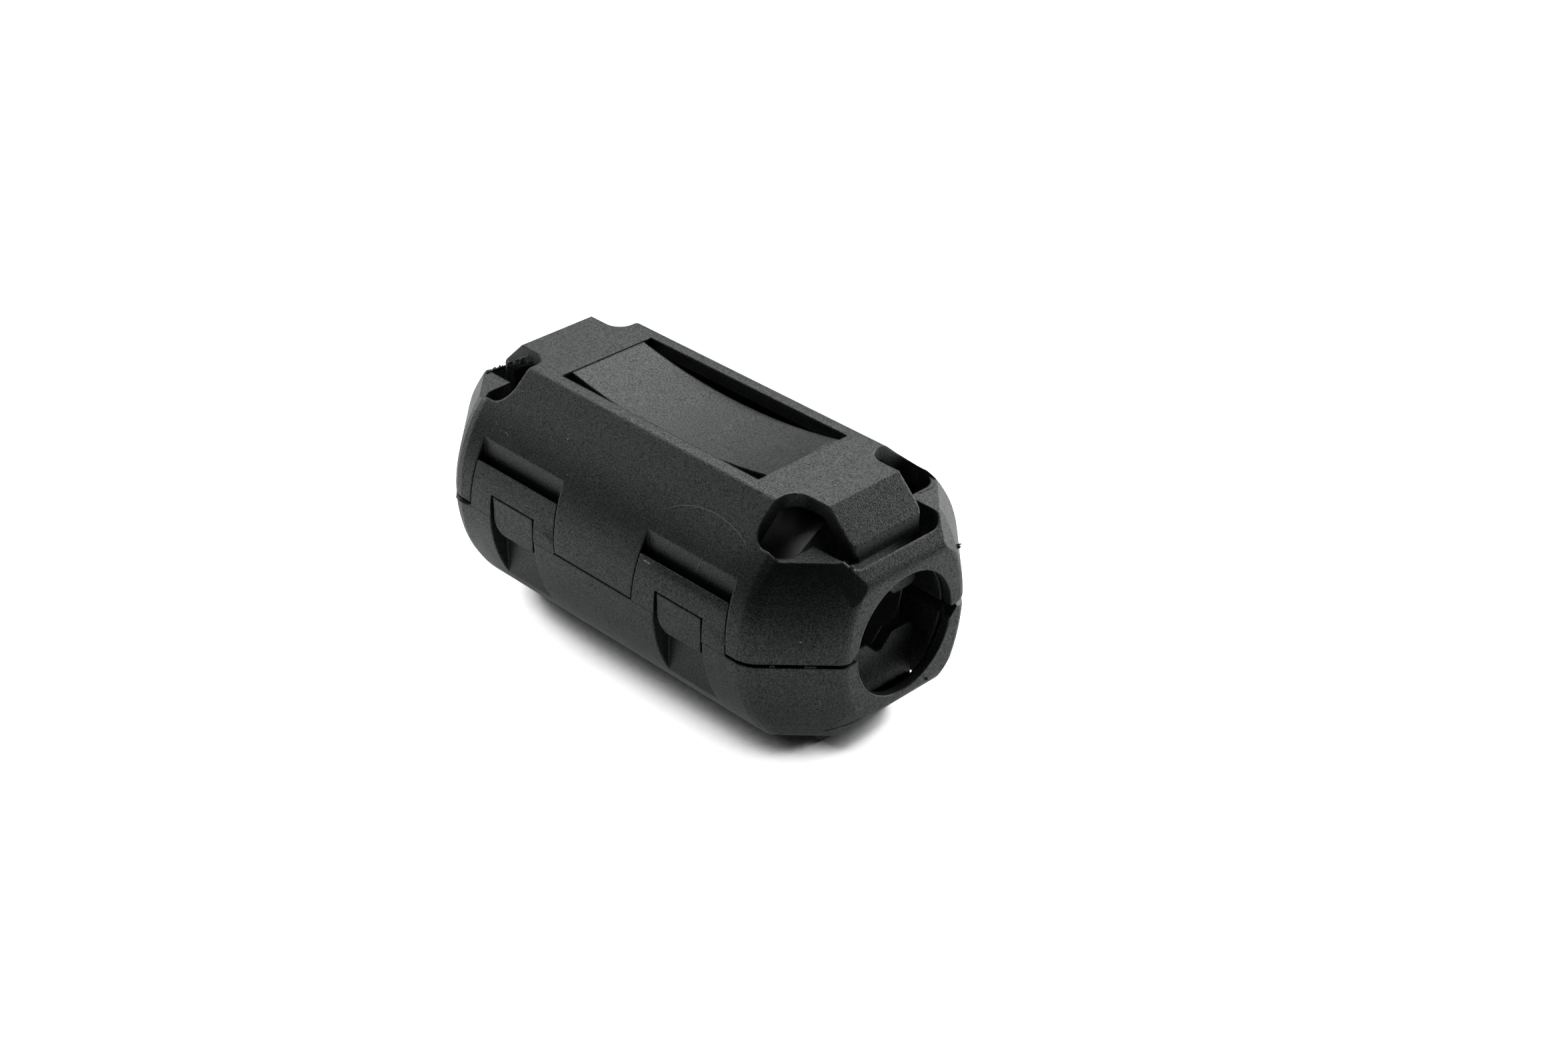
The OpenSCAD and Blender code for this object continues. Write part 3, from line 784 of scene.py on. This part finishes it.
def mark_lower_case(plastic, scuff_and_highlight):
    work = bmesh.new()
    add_ridge(work, opening_flash_spots(), **OPENING_FLASH_FORM)
    add_ridge(work, spots_on(BOTTOM_FLASH), **BOTTOM_FLASH_FORM)
    add_piece("edge_flash", work, scuff_and_highlight, "lower_case")

    work = bmesh.new()
    add_parting_films(work)
    add_piece("parting_film", work, plastic, "lower_case")

    work = bmesh.new()
    spot, normal = nearest_on("lower_shell", LOW_NUB)
    add_crumb(work, spot, normal, size_mm=(0.1, 0.08, 0.1), seed=8)
    add_ridge(work, far_lip_spots(), **FAR_LIP_FORM)
    add_piece("lower_nubs", work, plastic, "lower_case")

    work = bmesh.new()
    centre, normal = seen_at(*OVAL_MARK)
    level = normal.cross(Vector((0, 0, 1))).normalized()
    rise = level.cross(normal)
    half_width, half_height = OVAL_MARK_SIZE
    ring = []
    for k in range(OVAL_MARK_STEPS + 1):
        turn = 2 * math.pi * k / OVAL_MARK_STEPS
        across = level * math.cos(turn) * half_width + rise * math.sin(turn) * half_height
        ring.append((centre + across * MM, normal))
    add_ridge(work, ring, **OVAL_MARK_FORM)
    add_crumb(work, centre, normal, size_mm=(0.05, 0.12, 0.02), seed=42)
    add_piece("oval_mark", work, scuff_and_highlight, "lower_case")


def mark_flecks(dust):
    for body, flecks in FLECKS.items():
        work = bmesh.new()
        for seed, (x, y, size) in enumerate(flecks):
            spot, normal = seen_at(x, y)
            add_crumb(work, spot, normal, (size, 0.7 * size, 0.5 * size), seed)
        add_piece("flecks_" + body, work, dust, body)


def mark_tab(dust):
    work = bmesh.new()
    add_ridge(work, spots_on(TAB_SCUFF, 4), **TAB_SCUFF_FORM)
    add_piece("tab_scuff", work, dust, "near_latch")


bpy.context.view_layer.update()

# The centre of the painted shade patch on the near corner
shade_patch_centre, _ = seen_at(*SHADE_PATCH_PIXEL)
plastic = black_plastic("shell_plastic", SHELL_ROUNDING, shade_patch_centre)
tab_plastic = black_plastic("tab_plastic", TAB_ROUNDING, shade_patch_centre)
ferrite = ferrite_ceramic()
for node in SHELLS:
    dress(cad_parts[node], plastic)
for node in FERRITES:
    dress(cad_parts[node], ferrite)

for node in STRAPS:
    low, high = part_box(node)
    middle = (low + high) / 2
    middle.y = high.y
    bending_copy(
        node, tab_plastic,
        middle - Vector((0, 0, STRAP_BEND)), middle + Vector((0, 0, STRAP_BEND)), STRAP_CUTS,
    )
for node, body in TABS.items():
    low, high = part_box(node)
    root = Vector(((low.x + high.x) / 2, low.y, low.z))
    bending_copy(
        node, tab_plastic,
        root, root + Vector((0, 0, TAB_BEND)), TAB_CUTS,
    )

# Pale scuffs and flash, and on the crease flash a painted highlight
scuff_and_highlight = pale_plastic("scuff_and_highlight_plastic", colour=(0.12, 0.124, 0.126), roughness=0.45)
# Near black and matt: painted shade for the leaf's crease
crease_shade = pale_plastic("crease_painted_shade", colour=(0.004, 0.004, 0.004), roughness=0.7)
nub = pale_plastic("nub_plastic", colour=(0.012, 0.012, 0.012), roughness=0.65)
dust = pale_plastic("dust", colour=(0.34, 0.34, 0.33), roughness=0.8)
mark_upper_case(plastic, scuff_and_highlight, dust, crease_shade, nub)
mark_lower_case(plastic, scuff_and_highlight)
mark_flecks(dust)
mark_tab(dust)

add_floor()
light_world()
for lamp in LAMPS:
    add_lamp(*lamp)
add_camera()

scene = bpy.context.scene
scene.view_settings.view_transform = "Standard"
